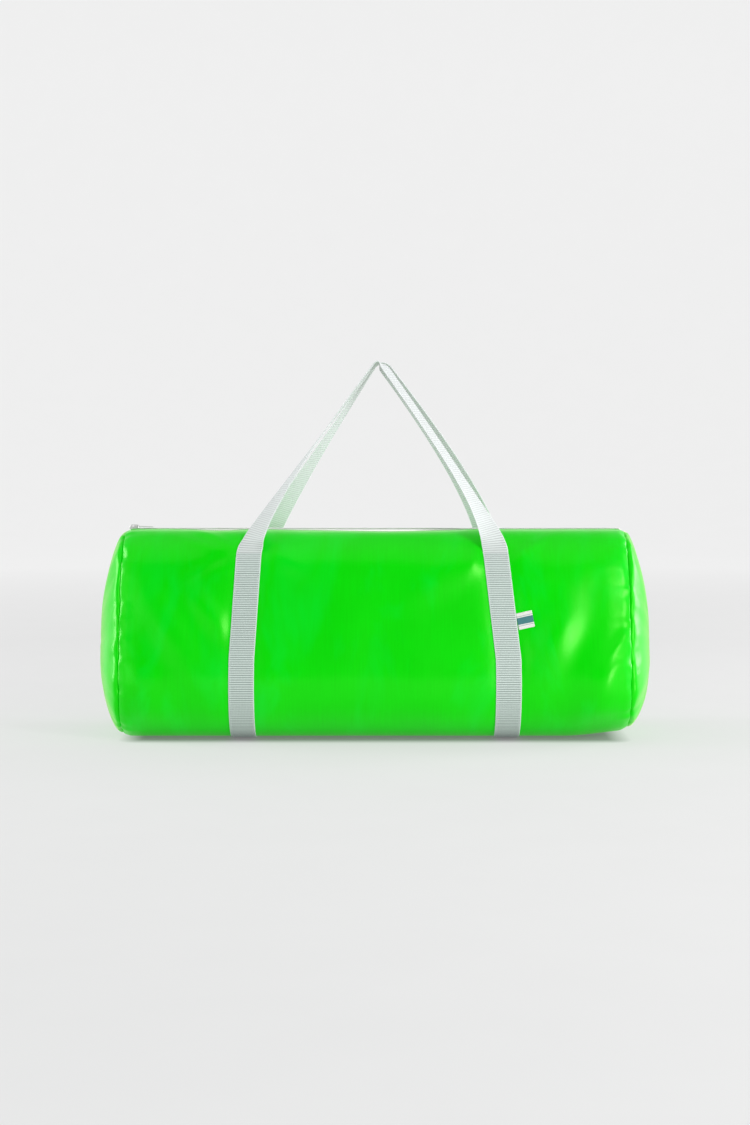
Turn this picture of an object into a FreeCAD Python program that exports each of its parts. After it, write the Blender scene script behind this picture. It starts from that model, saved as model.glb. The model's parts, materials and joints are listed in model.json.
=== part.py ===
"""Zipped barrel bag that holds a set of race sacks, in its filled shape, standing on the floor.

Millimetres. +X runs along the zip, away from its closed end, +Y to the back and +Z up.
The origin is on the floor under the middle of the bag. The webbing runs under the bag, so
the bag stands on it, and both handles stand up and lean together.
"""

import FreeCAD
import Part

import math
import os

Vec = FreeCAD.Vector
X_AXIS, Y_AXIS, Z_AXIS = Vec(1, 0, 0), Vec(0, 1, 0), Vec(0, 0, 1)

# Cloth shell: a 30 inch bag between its end seams
HALF_LENGTH = 381.0
HALF_DEPTH = 142.0  # at the widest, low down
CLOTH_HEIGHT = 312.0
CLOTH = 1.0
LOW_R, SHOULDER_R, CROWN_R = 80.0, 80.0, 230.0
SIDE_LEAN = math.radians(16.0)  # front and back lean in towards the top
MOUTH_HALF = 12.0  # the cloth stops this far from the middle of the zip
SEAM_ALLOWANCE = 10.0
LAYER_GAP = 0.1  # between two sewn layers

# Bulging round ends
END_BULGE = 41.0
END_FULLNESS = 0.76
END_CENTRE_Z = 132.0
END_RINGS = (1.0, 0.97, 0.88, 0.72, 0.5, 0.26, 0.06)

# Binding tape round the raw edges of an end seam
BINDING = 0.7
BINDING_COVER = 6.0

# Webbing
WEB_WIDTH = 38.0
WEB = 2.0
STRAP_X = 198.0  # middle of a strap under the bag
LEAN_START_Z = 125.0  # above this a strap leans towards the middle
STRAP_LEAN = {("left", "front"): 9.0, ("right", "front"): 17.0}
STRAP_LEAN.update({("left", "back"): 18.0, ("right", "back"): 18.0})

# Handles
HINGE_ANGLE = math.radians(35.2)  # place of the fold line round the shoulder
FOLD_GAP = 0.3  # between a strap's face and the handle folded onto it
APEX = Vec(6.0, -19.4, 573.0)  # front handle; the back one mirrors its Y
APEX_BEND = 16.0
PEAK_TILT = math.radians(22.0)  # the webbing's outer edge is the higher one at the peak
LEG_SQUARING = 30.0  # over this length a leg's ribs turn from level to square across it
# Each leg: how far its control point is out from the straight line, and its height above
# the fold; the length over which the leg turns edge-on, how evenly, and how far at the end
LEGS = {
    ("left", "front"): (24.0, 42.0, 85.0, 0.65, 1.0),
    ("right", "front"): (27.0, 46.0, 50.0, 1.13, 0.70),
    ("left", "back"): (7.0, 67.0, 164.0, 0.73, 1.0),
    ("right", "back"): (36.0, 80.0, 200.0, 0.60, 0.80),
}
LEG_CONTROL_TILT = math.radians(20.0)
LEG_STATIONS, BEND_STATIONS = 12, 6

# Zip
TAPE, TAPE_HALF = 0.7, 17.0
ROW_GAP_HALF = 0.9  # half the free line between the two rows
ROW_WIDTH, ROW_HEIGHT = 3.3, 2.6
ZIP_END = 2.4  # tape stops this far inside an end seam
SLIDER_LENGTH, SLIDER_HALF_WIDTH, SLIDER_PLATE = 16.0, 6.5, 1.3
SLIDER_PLAY = 0.4
BRIDGE_HALF_LENGTH, BRIDGE_HALF_WIDTH, BRIDGE_LEG, BRIDGE_ROOM = 5.2, 1.5, 1.2, 2.0
PULL_LENGTH, PULL_HALF_WIDTH, PULL_PLATE = 30.0, 3.9, 1.0
PULL_BAR_R, PULL_EYE_LENGTH, PULL_EYE_HALF = 0.6, 6.8, 2.2
PULL_DROOP = 3.0  # degrees below level, lying on the zip

# Side label, folded double, from under the right strap's outer edge
LABEL_Z, LABEL_LENGTH, LABEL_HEIGHT = 180.0, 21.0, 25.0
LABEL_LAYER, LABEL_TILT = 0.4, -10.0

# Bartacks: dense thread bars across the sewn end of each strap
TACK_HEIGHT, TACK_PROUD, TACK_INSET, TACK_PITCH = 2.4, 0.4, 3.0, 30.0

BASE_Z = WEB + LAYER_GAP
TOP_Z = BASE_Z + CLOTH_HEIGHT
LOW_CENTRE = Vec(0, HALF_DEPTH - LOW_R, BASE_Z + LOW_R)
CROWN_CENTRE = Vec(0, 0, TOP_Z - CROWN_R)
SIDE_OUT = Vec(0, math.cos(SIDE_LEAN), math.sin(SIDE_LEAN))
SIDE_UP = Vec(0, -math.sin(SIDE_LEAN), math.cos(SIDE_LEAN))
# The straight side's length puts the shoulder's circle inside the crown's, touching it
TO_CROWN = CROWN_CENTRE - LOW_CENTRE - SIDE_OUT * (LOW_R - SHOULDER_R)
TO_CROWN_UP = TO_CROWN.dot(SIDE_UP)
SIDE_LENGTH = TO_CROWN_UP + math.sqrt(
    TO_CROWN_UP**2 - TO_CROWN.dot(TO_CROWN) + (CROWN_R - SHOULDER_R) ** 2
)
SHOULDER_CENTRE = LOW_CENTRE + SIDE_OUT * (LOW_R - SHOULDER_R) + SIDE_UP * SIDE_LENGTH
CROWN_TURN = math.asin(SHOULDER_CENTRE.y / (CROWN_R - SHOULDER_R))
HINGE_R = SHOULDER_R + LAYER_GAP + WEB + FOLD_GAP + WEB / 2
HINGE_Y = SHOULDER_CENTRE.y + HINGE_R * math.cos(HINGE_ANGLE)
HINGE_Z = SHOULDER_CENTRE.z + HINGE_R * math.sin(HINGE_ANGLE)
STRAP_END_Z = SHOULDER_CENTRE.z + (SHOULDER_R + WEB) * math.sin(HINGE_ANGLE)
CROWN_DROP = CROWN_R - math.sqrt(CROWN_R**2 - TAPE_HALF**2)
TAPE_TOP = TOP_Z - CLOTH - CROWN_DROP - 2 * LAYER_GAP
ZIP_HALF = HALF_LENGTH - ZIP_END
SLIDER_X = -(ZIP_HALF - SLIDER_LENGTH / 2 - SLIDER_PLAY)
SLIDER_TOP = TAPE_TOP + ROW_HEIGHT + SLIDER_PLAY + SLIDER_PLATE
PULL_AXIS_Z = SLIDER_TOP + BRIDGE_ROOM / 2


def on_circle(centre, radius, angle, x):
    """Point of a circle in the YZ plane at x; angle is from +Y towards +Z."""
    return Vec(x, centre.y + radius * math.cos(angle), centre.z + radius * math.sin(angle))


def arc(centre, radius, start, end, x):
    """Edge along a circle in the YZ plane at x."""
    angles = (start, (start + end) / 2, end)
    points = [on_circle(centre, radius, a, x) for a in angles]
    return Part.Arc(*points).toShape()


def outline(offset, x):
    """The bag's section at x, moved out by offset: flat foot, leaning sides, low crown."""
    quarter = math.pi / 2
    shoulder_end = quarter - CROWN_TURN
    low, shoulder, crown = LOW_R + offset, SHOULDER_R + offset, CROWN_R + offset
    side_foot = on_circle(LOW_CENTRE, low, SIDE_LEAN, x)
    side_head = on_circle(SHOULDER_CENTRE, shoulder, SIDE_LEAN, x)
    back = [
        arc(LOW_CENTRE, low, -quarter, SIDE_LEAN, x),
        Part.makeLine(side_foot, side_head),
        arc(SHOULDER_CENTRE, shoulder, SIDE_LEAN, shoulder_end, x),
    ]
    front = [edge.mirror(Vec(), Y_AXIS) for edge in back]
    foot = on_circle(LOW_CENTRE, low, -quarter, x)
    foot_line = Part.makeLine(foot, Vec(foot.x, -foot.y, foot.z))
    top = arc(CROWN_CENTRE, crown, shoulder_end, quarter + CROWN_TURN, x)
    edges = Part.sortEdges([foot_line, *back, top, *front])[0]
    return Part.Wire(edges)


def tube(offset, x0, x1):
    """Solid bar of the bag's section between two stations."""
    return Part.Face(outline(offset, x0)).extrude(Vec(x1 - x0, 0, 0))


def band(inner, outer, x0, x1):
    """Hollow ring of the bag's section, from one offset to another."""
    return tube(outer, x0, x1).cut(tube(inner, x0 - 1, x1 + 1))


def box(x0, x1, y0, y1, z0, z1):
    return Part.makeBox(x1 - x0, y1 - y0, z1 - z0, Vec(x0, y0, z0))


def side_sign(side):
    return -1 if side == "left" else 1


def body_panel():
    """One cloth panel wrapped round from lip to lip of the mouth, edges turned in at both ends."""
    panel = band(-CLOTH, 0, -HALF_LENGTH, HALF_LENGTH)
    for x0 in (-HALF_LENGTH, HALF_LENGTH - CLOTH):
        panel = panel.fuse(band(-SEAM_ALLOWANCE, 0, x0, x0 + CLOTH))
    mouth = box(
        -HALF_LENGTH - 1, HALF_LENGTH + 1, -MOUTH_HALF, MOUTH_HALF, TOP_Z - 20, TOP_Z + 5
    )
    return panel.cut(mouth).removeSplitter()


def dome(seam_x, skin):
    """Solid under a bulging end; with skin set, the smaller one that hollows the panel."""
    wires = []
    for k in END_RINGS:
        bulge = END_BULGE * (1 - k * k) ** END_FULLNESS
        ring = outline(-skin, seam_x + bulge - skin)
        wires.append(ring.scaled(k, Vec(ring.BoundBox.XMin, 0, END_CENTRE_Z)))
    return Part.makeLoft(wires, True, False)


def end_panel(side):
    """Round end of the bag: a bulging skin with its edge turned in behind the seam."""
    seam_x = HALF_LENGTH + LAYER_GAP
    skin = dome(seam_x, 0).cut(dome(seam_x, CLOTH))
    skin = skin.fuse(band(-SEAM_ALLOWANCE, 0, seam_x, seam_x + CLOTH))
    return skin if side == "right" else skin.mirror(Vec(), X_AXIS)


def seam_binding(side):
    """U of tape folded over both raw edges of an end seam, inside the bag."""
    x0 = HALF_LENGTH - CLOTH - LAYER_GAP
    x1 = HALF_LENGTH + LAYER_GAP + CLOTH + LAYER_GAP
    inner = SEAM_ALLOWANCE + LAYER_GAP
    outer = inner - BINDING_COVER
    whole = band(-inner - BINDING, -outer, x0 - BINDING, x1 + BINDING)
    ring = whole.cut(band(-inner, -outer + 1, x0, x1))
    return ring if side == "right" else ring.mirror(Vec(), X_AXIS)


def strap_outline(side, face):
    """Front or back elevation of a strap: upright to LEAN_START_Z, then leaning inward."""
    sign, half = side_sign(side), WEB_WIDTH / 2
    low = sign * STRAP_X
    high = sign * (STRAP_X - STRAP_LEAN[side, face])
    corners = [
        (low - half, -5),
        (low + half, -5),
        (low + half, LEAN_START_Z),
        (high + half, STRAP_END_Z),
        (high - half, STRAP_END_Z),
        (low - half, LEAN_START_Z),
    ]
    wire = Part.makePolygon([Vec(x, 0, z) for x, z in corners + corners[:1]])
    reach = -200 if face == "front" else 200
    return Part.Face(wire).extrude(Vec(0, reach, 0))


def strap(side):
    """Webbing sewn down the front, under the bag and up the back."""
    middle = side_sign(side) * STRAP_X
    sheet = band(LAYER_GAP, LAYER_GAP + WEB, middle - 60, middle + 60)
    cut = strap_outline(side, "front").fuse(strap_outline(side, "back"))
    return sheet.common(cut).removeSplitter()


def bartacks():
    """Two thread bars across each of the four sewn ends."""
    bars = []
    skin_in = LAYER_GAP + WEB + LAYER_GAP
    for side, face in STRAP_LEAN:
        sign = side_sign(side)
        rise = STRAP_END_Z - LEAN_START_Z
        for down in (TACK_INSET, TACK_INSET + TACK_PITCH):
            z1 = STRAP_END_Z - down
            lean = STRAP_LEAN[side, face] * (z1 - LEAN_START_Z) / rise
            middle = sign * (STRAP_X - lean)
            half = WEB_WIDTH / 2 - TACK_INSET
            skin = band(skin_in, skin_in + TACK_PROUD, middle - half, middle + half)
            y0, y1 = (-200, 0) if face == "front" else (0, 200)
            bars.append(skin.common(box(-300, 300, y0, y1, z1 - TACK_HEIGHT, z1)))
    return Part.Compound([solid for bar in bars for solid in bar.Solids])


def bezier(start, control, end, t):
    """(point, unit tangent) of a quadratic curve."""
    point = start * (1 - t) ** 2 + control * (2 * t * (1 - t)) + end * t**2
    tangent = (control - start) * (1 - t) + (end - control) * t
    return point, tangent.normalize()


def leg_points(side, face):
    """Fold point, control point and the start of the top bend, for a front handle's leg."""
    sign = side_sign(side)
    out, rise = LEGS[side, face][:2]
    foot = Vec(sign * (STRAP_X - STRAP_LEAN[side, face]), -HINGE_Y, HINGE_Z)
    share = rise / (APEX.z - HINGE_Z)
    straight_x = foot.x + (APEX.x - foot.x) * share
    control = Vec(
        straight_x + sign * out,
        -HINGE_Y + rise * math.tan(LEG_CONTROL_TILT),
        HINGE_Z + rise,
    )
    back = Vec(control - APEX).normalize()
    return foot, control, APEX + back * APEX_BEND


def across(tangent, turned, square, sign, lean):
    """Unit width direction of the webbing, from flat on the bag (0) to edge-on (1)."""
    flat = (X_AXIS * -sign) - tangent * (X_AXIS.dot(tangent) * -sign * square)
    edge = lean - tangent * lean.dot(tangent)
    angle = turned * math.pi / 2
    width = flat.normalize() * math.cos(angle) + edge.normalize() * math.sin(angle)
    return width.normalize()


def webbing_section(point, tangent, width):
    """Rectangle of webbing across its route."""
    half_w, half_t = width * (WEB_WIDTH / 2), width.cross(tangent) * (WEB / 2)
    corners = [half_w + half_t, half_w - half_t, -half_w - half_t, -half_w + half_t]
    return Part.makePolygon([point + c for c in corners + corners[:1]])


def handle(face):
    """Free webbing of one handle: up one leg, over a tight bend, down the other."""
    lean = Vec(0, -math.cos(PEAK_TILT), math.sin(PEAK_TILT))
    stations = []
    for side in ("left", "right"):
        foot, control, top = leg_points(side, face)
        sign = side_sign(side)
        length, power, most = LEGS[side, face][2:]
        leg = []
        for i in range(LEG_STATIONS):
            point, tangent = bezier(foot, control, top, i / (LEG_STATIONS - 1))
            gone = point.distanceToPoint(foot)
            turned = most * (1 - math.exp(-((gone / length) ** power)))
            square = min(gone / LEG_SQUARING, 1.0)
            tangent = tangent * -sign
            leg.append((point, tangent, across(tangent, turned, square, sign, lean)))
        stations.append(leg)
    left, right = stations[0], stations[1][::-1]
    bend = []
    for i in range(1, BEND_STATIONS):
        t = i / BEND_STATIONS
        point, tangent = bezier(left[-1][0], APEX, right[0][0], t)
        width = left[-1][2] * (1 - t) + right[0][2] * t
        width = width - tangent * width.dot(tangent)
        bend.append((point, tangent, width.normalize()))
    wires = [webbing_section(*station) for station in left + bend + right]
    solid = Part.makeLoft(wires, True, True)
    return solid if face == "front" else solid.mirror(Vec(), Y_AXIS)


def rounded_plate(half_length, half_width, thickness, corner):
    """Flat plate centred on the Z axis, from z 0 up, its upright edges rounded."""
    plate = box(-half_length, half_length, -half_width, half_width, 0, thickness)
    upright = [e for e in plate.Edges if abs(e.tangentAt(e.FirstParameter).z) > 0.9]
    return plate.makeFillet(corner, upright)


def zip_tape(face):
    """Woven tape of one side of the zip, under the cloth's lip."""
    tape = box(-ZIP_HALF, ZIP_HALF, ROW_GAP_HALF, TAPE_HALF, TAPE_TOP - TAPE, TAPE_TOP)
    return tape if face == "back" else tape.mirror(Vec(), Y_AXIS)


def zip_coil(face):
    """One row of the nylon coil, as the ridge that holds its turns."""
    y1 = ROW_GAP_HALF + ROW_WIDTH
    ridge = box(-ZIP_HALF, ZIP_HALF, ROW_GAP_HALF, y1, TAPE_TOP, TAPE_TOP + ROW_HEIGHT)
    top = [
        e
        for e in ridge.Edges
        if e.Length > 100 and abs(e.BoundBox.ZMin - TAPE_TOP - ROW_HEIGHT) < 0.01
    ]
    ridge = ridge.makeFillet(ROW_WIDTH * 0.4, top)
    return ridge if face == "back" else ridge.mirror(Vec(), Y_AXIS)


def zip_slider():
    """Cast slider: two plates joined by a thin neck, with flanges beside the coil."""
    half = SLIDER_LENGTH / 2
    under = TAPE_TOP - TAPE - SLIDER_PLAY
    plate_z = SLIDER_TOP - SLIDER_PLATE
    top = rounded_plate(half, SLIDER_HALF_WIDTH, SLIDER_PLATE, 2.5)
    top.translate(Vec(SLIDER_X, 0, plate_z))
    bottom = rounded_plate(half, SLIDER_HALF_WIDTH, SLIDER_PLATE, 2.5)
    bottom.translate(Vec(SLIDER_X, 0, under - SLIDER_PLATE))
    neck_half = ROW_GAP_HALF - 0.3
    neck = box(
        SLIDER_X - 6, SLIDER_X - 1, -neck_half, neck_half, under - 0.5, plate_z + 0.5
    )
    slider = top.fuse([bottom, neck])
    inner = ROW_GAP_HALF + ROW_WIDTH + SLIDER_PLAY
    for y0, y1 in ((inner, SLIDER_HALF_WIDTH), (-SLIDER_HALF_WIDTH, -inner)):
        flange_z = TAPE_TOP + SLIDER_PLAY
        x0, x1 = SLIDER_X - half + 2.5, SLIDER_X + half - 2.5
        slider = slider.fuse(box(x0, x1, y0, y1, flange_z, plate_z + 0.5))
    return slider.removeSplitter()


def slider_bridge():
    """Arch on the slider that keeps the pull."""
    rise = BRIDGE_ROOM + BRIDGE_LEG
    half, width = BRIDGE_HALF_LENGTH, BRIDGE_HALF_WIDTH
    arch = box(-half, half, -width, width, 0, rise)
    top = [e for e in arch.Edges if e.BoundBox.ZMin > rise - 0.01 and e.Length < 4]
    arch = arch.makeFillet(1.0, top)
    room = half - BRIDGE_LEG
    arch = arch.cut(box(-room, room, -width - 1, width + 1, -1, BRIDGE_ROOM))
    arch.translate(Vec(SLIDER_X, 0, SLIDER_TOP))
    return arch


def zip_pull():
    """Pull tab: round bar under the bridge, an eye round it, and a tapered tab with a hole."""
    half_t, tip = PULL_PLATE / 2, PULL_LENGTH - 2.6
    outline_points = [
        Vec(0, -PULL_EYE_HALF - 1.5, -half_t),
        Vec(PULL_EYE_LENGTH, -PULL_HALF_WIDTH, -half_t),
        Vec(tip, -2.6, -half_t),
        Vec(tip, 2.6, -half_t),
        Vec(PULL_EYE_LENGTH, PULL_HALF_WIDTH, -half_t),
        Vec(0, PULL_EYE_HALF + 1.5, -half_t),
    ]
    wire = Part.makePolygon(outline_points + outline_points[:1])
    tab = Part.Face(wire).extrude(Vec(0, 0, PULL_PLATE))
    tab = tab.fuse(Part.makeCylinder(2.6, PULL_PLATE, Vec(tip, 0, -half_t)))
    eye = box(-1, PULL_EYE_LENGTH, -PULL_EYE_HALF, PULL_EYE_HALF, -2, 2)
    hole = Part.makeCylinder(1.3, 4, Vec(tip, 0, -2))
    tab = tab.cut(eye.fuse(hole))
    bar_half = PULL_EYE_HALF + 1.5
    bar = Part.makeCylinder(PULL_BAR_R, 2 * bar_half, Vec(0, -bar_half, 0), Y_AXIS)
    pull = tab.fuse(bar).removeSplitter()
    pull.rotate(Vec(), Y_AXIS, PULL_DROOP)
    pull.translate(Vec(SLIDER_X, 0, PULL_AXIS_Z))
    return pull


def side_label():
    """Folded woven label beside the right strap, its fold outward."""
    share = (LABEL_Z - LEAN_START_Z) / (STRAP_END_Z - LEAN_START_Z)
    lean = STRAP_LEAN["right", "front"] * share
    root_x = STRAP_X - lean + WEB_WIDTH / 2
    thick = 2 * LABEL_LAYER + LAYER_GAP
    up = (LABEL_Z - LOW_CENTRE.z - LOW_R * math.sin(SIDE_LEAN)) / math.cos(SIDE_LEAN)
    face = LOW_CENTRE + SIDE_OUT * LOW_R + SIDE_UP * up
    back_y = -face.y - 2 * LAYER_GAP
    z0, z1 = LABEL_Z - LABEL_HEIGHT / 2, LABEL_Z + LABEL_HEIGHT / 2
    label = box(root_x, root_x + LABEL_LENGTH, back_y - thick, back_y, z0, z1)
    inner_y = back_y - LABEL_LAYER - LAYER_GAP
    fold_x = root_x + LABEL_LENGTH - LABEL_LAYER
    label = label.cut(
        box(root_x - 1, fold_x, inner_y, inner_y + LAYER_GAP, z0 - 1, z1 + 1)
    )
    label.rotate(Vec(root_x, 0, LABEL_Z), Y_AXIS, LABEL_TILT)
    label.translate(Vec(3.2, 0, 0))
    label.rotate(Vec(0, back_y, LABEL_Z), X_AXIS, -math.degrees(SIDE_LEAN))
    return label


def make_parts():
    parts = {
        "body_panel": body_panel(),
        "strap_bartacks": bartacks(),
        "zip_slider": zip_slider(),
        "slider_bridge": slider_bridge(),
        "zip_pull": zip_pull(),
        "side_label": side_label(),
    }
    for side in ("left", "right"):
        parts["end_panel_" + side] = end_panel(side)
        parts["seam_binding_" + side] = seam_binding(side)
        parts["strap_" + side] = strap(side)
    for face in ("front", "back"):
        parts["zip_tape_" + face] = zip_tape(face)
        parts["zip_coil_" + face] = zip_coil(face)
        parts["handle_" + face] = handle(face)
    return parts


def main():
    os.makedirs("parts", exist_ok=True)
    for old in os.listdir("parts"):
        if old.endswith(".step"):
            os.remove(os.path.join("parts", old))
    for name, shape in sorted(make_parts().items()):
        if not shape.isValid() or not shape.Solids:
            raise ValueError(f"{name} isn't a valid solid")
        shape.exportStep(os.path.join("parts", name + ".step"))
        print(name, len(shape.Solids), "solids", round(shape.Volume), "mm3")
    print("handle fold line at y", round(HINGE_Y, 3), "z", round(HINGE_Z, 3))
    print("slider x", round(SLIDER_X, 3), "pull axis z", round(PULL_AXIS_Z, 3))
    print("zip level", round(TAPE_TOP, 3), "top of cloth", round(TOP_Z, 3))


main()
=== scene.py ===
"""Looks of the zipped barrel bag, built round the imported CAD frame.

Metres, in the frame of the part: +X along the zip, +Y to the back, +Z up, floor at z = 0.
The cloth is simulated between the webbing and the zip, which hold it to the CAD section.
"""

import json
import math

import bmesh
import bpy
import numpy as np
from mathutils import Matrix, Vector


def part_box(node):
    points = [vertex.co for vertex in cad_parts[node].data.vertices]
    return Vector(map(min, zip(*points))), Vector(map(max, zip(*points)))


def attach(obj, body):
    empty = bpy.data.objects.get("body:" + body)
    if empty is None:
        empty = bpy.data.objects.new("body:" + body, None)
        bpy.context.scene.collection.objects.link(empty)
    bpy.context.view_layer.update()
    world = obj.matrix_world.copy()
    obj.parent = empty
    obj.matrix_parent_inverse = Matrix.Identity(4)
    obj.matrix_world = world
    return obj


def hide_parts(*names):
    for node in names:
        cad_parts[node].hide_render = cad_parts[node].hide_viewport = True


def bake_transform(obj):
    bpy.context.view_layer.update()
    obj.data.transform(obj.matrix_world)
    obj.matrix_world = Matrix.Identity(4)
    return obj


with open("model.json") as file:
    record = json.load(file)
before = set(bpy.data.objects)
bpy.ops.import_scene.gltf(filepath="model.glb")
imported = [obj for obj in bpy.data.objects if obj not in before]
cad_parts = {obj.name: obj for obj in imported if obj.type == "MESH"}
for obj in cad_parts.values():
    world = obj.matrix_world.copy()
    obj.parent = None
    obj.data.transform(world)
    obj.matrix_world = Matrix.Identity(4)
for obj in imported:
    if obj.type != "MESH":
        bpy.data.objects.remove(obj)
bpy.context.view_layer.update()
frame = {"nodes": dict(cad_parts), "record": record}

MM = 0.001
FRONT, BACK = -1, 1  # sign of y
LEFT, RIGHT = -1, 1  # sign of x
SIDE_NAME = {LEFT: "left", RIGHT: "right"}
FACE_NAME = {FRONT: "front", BACK: "back"}

# ---------------- sizes from the frame
(_, _, BASE_Z), (HALF_LENGTH, HALF_DEPTH, _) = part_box("body_panel")
END_X, _, TOP_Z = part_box("end_panel_right")[1]
END_BULGE = END_X - HALF_LENGTH - 0.1 * MM
JOINTS = {j["name"]: j for j in frame["record"]["behaviour"]["joints"]}
HINGE_Y, HINGE_Z = JOINTS["back_handle_fold"]["pos_m"][1:]
ZIP_HALF, _, TAPE_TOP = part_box("zip_tape_back")[1]

# Section of the bag: flat foot, leaning sides, rounded shoulders, low crown
LOW_R, SHOULDER_R, CROWN_R = 0.080, 0.080, 0.230
SIDE_LEAN = math.radians(16)
MOUTH_HALF = 12 * MM
WEB_HALF, WEB = 19 * MM, 1.7 * MM
STRAP_X, LEAN_START = 0.198, 0.125
STRAP_LEAN = {
    (LEFT, FRONT): 0.009,
    (RIGHT, FRONT): 0.017,
    (LEFT, BACK): 0.018,
    (RIGHT, BACK): 0.018,
}


def smooth(t):
    t = np.clip(t, 0, 1)
    return t * t * (3 - 2 * t)


# ---------------- the bag's section
low_c = np.array([HALF_DEPTH - LOW_R, BASE_Z + LOW_R])
crown_c = np.array([0, TOP_Z - CROWN_R])
side_out = np.array([math.cos(SIDE_LEAN), math.sin(SIDE_LEAN)])
side_up = np.array([-math.sin(SIDE_LEAN), math.cos(SIDE_LEAN)])
to_crown = crown_c - low_c - side_out * (LOW_R - SHOULDER_R)
rise = to_crown @ side_up
SIDE_LENGTH = rise + math.sqrt(rise**2 - to_crown @ to_crown + (CROWN_R - SHOULDER_R) ** 2)
shoulder_c = low_c + side_out * (LOW_R - SHOULDER_R) + side_up * SIDE_LENGTH
SIDE_HEAD = shoulder_c + side_out * SHOULDER_R
CROWN_TURN = math.asin(shoulder_c[0] / (CROWN_R - SHOULDER_R))
SECTION_RUNS = np.array(
    [
        CROWN_R * CROWN_TURN,
        SHOULDER_R * (math.pi / 2 - SIDE_LEAN - CROWN_TURN),
        SIDE_LENGTH,
        LOW_R * (math.pi / 2 + SIDE_LEAN),
        HALF_DEPTH - LOW_R,
    ]
)
SECTION_ENDS = np.cumsum(SECTION_RUNS)
HALF_GIRTH = SECTION_ENDS[-1]
CUT_RADIUS = HALF_GIRTH / math.pi  # of the round end panels as they are cut
FOLD_S = SECTION_ENDS[0] + SHOULDER_R * (
    math.pi / 2 - CROWN_TURN - math.atan2(HINGE_Z - shoulder_c[1], HINGE_Y - shoulder_c[0])
)


def section(s):
    """(y, z) and outward (ny, nz) at distance s round the bag from the zip: + front, - back."""
    s = np.asarray(s, float)
    d = np.clip(np.abs(s), 0, HALF_GIRTH)
    y, z, a = np.zeros_like(d), np.zeros_like(d), np.zeros_like(d)
    starts = np.concatenate([[0], SECTION_ENDS[:-1]])
    run = np.clip(np.searchsorted(SECTION_ENDS, d, side="left"), 0, 4)
    t = d - starts[run]
    quarter = math.pi / 2
    arcs = (
        (0, crown_c, CROWN_R, quarter),
        (1, shoulder_c, SHOULDER_R, quarter - CROWN_TURN),
        (3, low_c, LOW_R, SIDE_LEAN),
    )
    for k, centre, radius, first in arcs:
        m = run == k
        a[m] = first - t[m] / radius
        y[m], z[m] = centre[0] + radius * np.cos(a[m]), centre[1] + radius * np.sin(a[m])
    m = run == 2
    a[m] = SIDE_LEAN
    y[m], z[m] = SIDE_HEAD[0] - side_up[0] * t[m], SIDE_HEAD[1] - side_up[1] * t[m]
    m = run == 4
    a[m] = -quarter
    y[m], z[m] = low_c[0] - t[m], BASE_Z
    sign = np.where(s >= 0, -1.0, 1.0)
    return np.stack([sign * y, z], -1), np.stack([sign * np.cos(a), np.sin(a)], -1)


def strap_centre(side, face, z):
    """x of the middle of a strap at height z."""
    share = np.clip((z - LEAN_START) / (HINGE_Z - LEAN_START), 0, 1)
    return side * (STRAP_X - STRAP_LEAN[side, face] * share)


# ---------------- cloth grid
def graded(total, spots, coarse, fine):
    """Stations from -total to total, closer together near each (place, reach) spot."""
    x, stations = 0.0, [0.0]
    while x < total:
        near = min(abs(x - place) / reach for place, reach in spots)
        x += fine + (coarse - fine) * float(smooth(near - 0.6))
        stations.append(x)
    half = np.array(stations) * (total / stations[-1])
    return np.concatenate([-half[:0:-1], half])


GRID = 1.0
FINE_CELL = 4.6 * MM * GRID
FINE_SPOTS = [(HALF_LENGTH, 0.055), (STRAP_X - 0.008, 0.035)]  # the end seams and the straps
XS = graded(HALF_LENGTH, FINE_SPOTS, 7.0 * MM * GRID, FINE_CELL)
side_cells = int(round((HALF_GIRTH - MOUTH_HALF) / (5.0 * MM * GRID)))
half_s = np.concatenate([[0, 6 * MM], np.linspace(MOUTH_HALF, HALF_GIRTH, side_cells + 1)])
SS = np.concatenate([half_s, -half_s[-2:0:-1]])  # once round, from the zip over the front
NX, NS = len(XS), len(SS)
LIP = 2  # index of the lip in SS, and -LIP on the back


def tube_points(yz):
    """The tube's vertices, one closed row of yz at every station."""
    p = np.zeros((NX, NS, 3))
    p[..., 0] = XS[:, None]
    p[..., 1:] = yz[None]
    return p


def end_rings():
    """(scale, vertex stride) of each ring of an end panel, from just inside the seam."""
    rings, r, stride = [], 1.0, 1
    step = FINE_CELL / CUT_RADIUS
    while True:
        r -= step
        if r < 0.05:
            return rings
        wider = 2 * math.pi * r * CUT_RADIUS / (NS // (stride * 2))
        if wider < 8.0 * MM * GRID and NS % (stride * 2) == 0:
            stride *= 2
        step = min(step * 1.08, 9.0 * MM * GRID / CUT_RADIUS)
        rings.append((r, stride))


RINGS = end_rings()
CENTRE = (0.0, NS)  # the middle of an end, as a ring of one vertex
DOME_Z = 0.132


def dome_bulge(k):
    return END_BULGE * (1 - k * k) ** 0.76


def ring_faces(outer, inner):
    """Faces from a closed ring of vertex numbers to one as long, half as long, or of one."""
    faces = []
    no, ni = len(outer), len(inner)
    if ni == 1:
        return [(outer[j], outer[(j + 1) % no], inner[0]) for j in range(no)]
    step = no // ni
    for j in range(ni):
        a, b = inner[j], inner[(j + 1) % ni]
        o = [outer[(j * step + i) % no] for i in range(step + 1)]
        if step == 1:
            faces.append((o[0], o[1], b, a))
        else:
            faces += [(o[0], o[1], a), (o[1], b, a), (o[1], o[2], b)]
    return faces


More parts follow.
